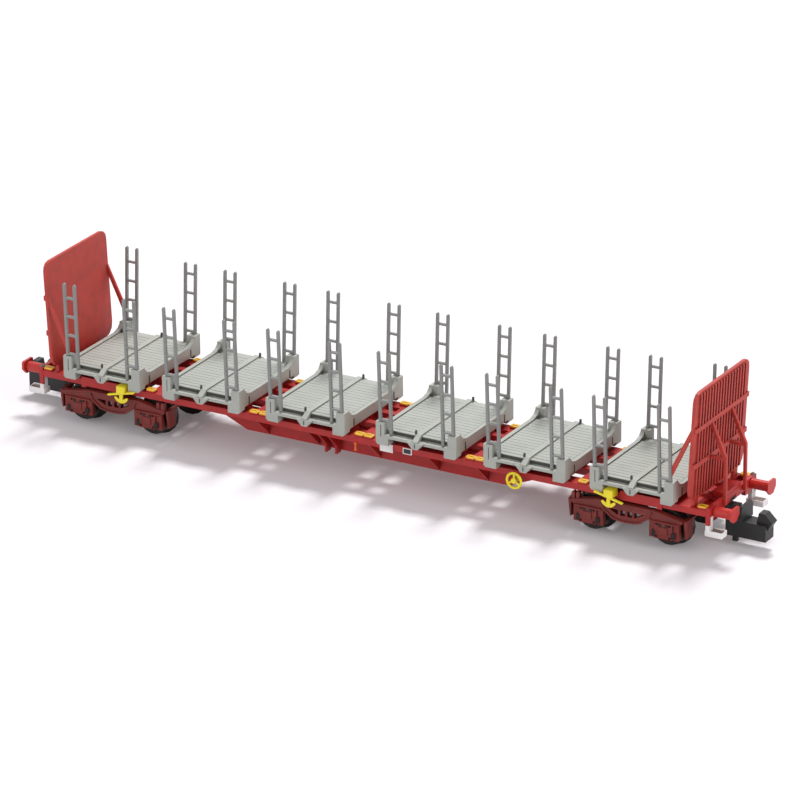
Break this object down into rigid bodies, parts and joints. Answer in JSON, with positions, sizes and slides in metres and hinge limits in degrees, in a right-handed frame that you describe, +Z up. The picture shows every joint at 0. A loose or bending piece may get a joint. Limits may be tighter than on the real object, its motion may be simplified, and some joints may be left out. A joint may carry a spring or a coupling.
{
  "type": "model log wagon",
  "caption": "Small model of a bogie flat wagon for logs, with grey bunks, ladder stakes and ribbed red end walls.",
  "frame": {"origin": "on the floor under the middle of the wagon, where the wheel flanges stand", "axes": "+X along the wagon towards its right-hand end in the reference view, +Y across it to the far side, +Z up"},
  "size_m": [0.1164, 0.0168, 0.0234],
  "materials": {
    "frame_red": "satin moulded red plastic",
    "wall_red": "satin moulded brick-red plastic",
    "bogie_brown": "satin moulded brown-red plastic",
    "cradle_grey": "satin moulded light grey plastic",
    "stake_grey": "satin mid grey plastic",
    "coupler_black": "satin black plastic",
    "wheel_dark": "chemically blackened turned metal",
    "step_white": "satin white plastic",
    "control_yellow": "satin yellow plastic"
  },
  "bodies": {
    "root": {"underframe": "frame_red", "cradle_1": "cradle_grey", "cradle_2": "cradle_grey", "cradle_3": "cradle_grey", "cradle_4": "cradle_grey", "cradle_5": "cradle_grey", "cradle_6": "cradle_grey", "stake_1_left_near": "stake_grey", "stake_1_left_far": "stake_grey", "stake_1_right_near": "stake_grey", "stake_1_right_far": "stake_grey", "stake_2_left_near": "stake_grey", "stake_2_left_far": "stake_grey", "stake_2_right_near": "stake_grey", "stake_2_right_far": "stake_grey", "stake_3_left_near": "stake_grey", "stake_3_left_far": "stake_grey", "stake_3_right_near": "stake_grey", "stake_3_right_far": "stake_grey", "stake_4_left_near": "stake_grey", "stake_4_left_far": "stake_grey", "stake_4_right_near": "stake_grey", "stake_4_right_far": "stake_grey", "stake_5_left_near": "stake_grey", "stake_5_left_far": "stake_grey", "stake_5_right_near": "stake_grey", "stake_5_right_far": "stake_grey", "stake_6_left_near": "stake_grey", "stake_6_left_far": "stake_grey", "stake_6_right_near": "stake_grey", "stake_6_right_far": "stake_grey", "end_wall_left": "wall_red", "end_wall_right": "wall_red", "buffer_left_near": "frame_red", "step_left_near": "step_white", "lever_left_near": "control_yellow", "buffer_left_far": "frame_red", "step_left_far": "step_white", "lever_left_far": "control_yellow", "buffer_right_near": "frame_red", "step_right_near": "step_white", "lever_right_near": "control_yellow", "buffer_right_far": "frame_red", "step_right_far": "step_white", "lever_right_far": "control_yellow", "handwheel_near": "control_yellow", "handwheel_far": "control_yellow"},
    "bogie_left": {"bogie_frame_left": "bogie_brown"},
    "wheelset_left_a": {"wheelset_left_a": "wheel_dark"},
    "wheelset_left_b": {"wheelset_left_b": "wheel_dark"},
    "coupler_left": {"coupler_left": "coupler_black"},
    "bogie_right": {"bogie_frame_right": "bogie_brown"},
    "wheelset_right_a": {"wheelset_right_a": "wheel_dark"},
    "wheelset_right_b": {"wheelset_right_b": "wheel_dark"},
    "coupler_right": {"coupler_right": "coupler_black"}
  },
  "joints": [
    {"name": "bogie_left_swivel", "type": "hinge", "parent": "root", "child": "bogie_left", "pos_m": [-0.0399, 0, 0.0056], "axis": [0, 0, 1], "range_deg": [-10, 10]},
    {"name": "wheelset_left_a_turn", "type": "hinge", "parent": "bogie_left", "child": "wheelset_left_a", "pos_m": [-0.04553, 0, 0.003], "axis": [0, 1, 0], "continuous": true},
    {"name": "wheelset_left_b_turn", "type": "hinge", "parent": "bogie_left", "child": "wheelset_left_b", "pos_m": [-0.03427, 0, 0.003], "axis": [0, 1, 0], "continuous": true},
    {"name": "coupler_left_swing", "type": "hinge", "parent": "root", "child": "coupler_left", "pos_m": [-0.0496, 0, 0.00525], "axis": [0, 0, 1], "range_deg": [-12, 12]},
    {"name": "bogie_right_swivel", "type": "hinge", "parent": "root", "child": "bogie_right", "pos_m": [0.0399, 0, 0.0056], "axis": [0, 0, 1], "range_deg": [-10, 10]},
    {"name": "wheelset_right_a_turn", "type": "hinge", "parent": "bogie_right", "child": "wheelset_right_a", "pos_m": [0.03427, 0, 0.003], "axis": [0, 1, 0], "continuous": true},
    {"name": "wheelset_right_b_turn", "type": "hinge", "parent": "bogie_right", "child": "wheelset_right_b", "pos_m": [0.04553, 0, 0.003], "axis": [0, 1, 0], "continuous": true},
    {"name": "coupler_right_swing", "type": "hinge", "parent": "root", "child": "coupler_right", "pos_m": [0.0496, 0, 0.00525], "axis": [0, 0, 1], "range_deg": [-12, 12]}
  ]
}
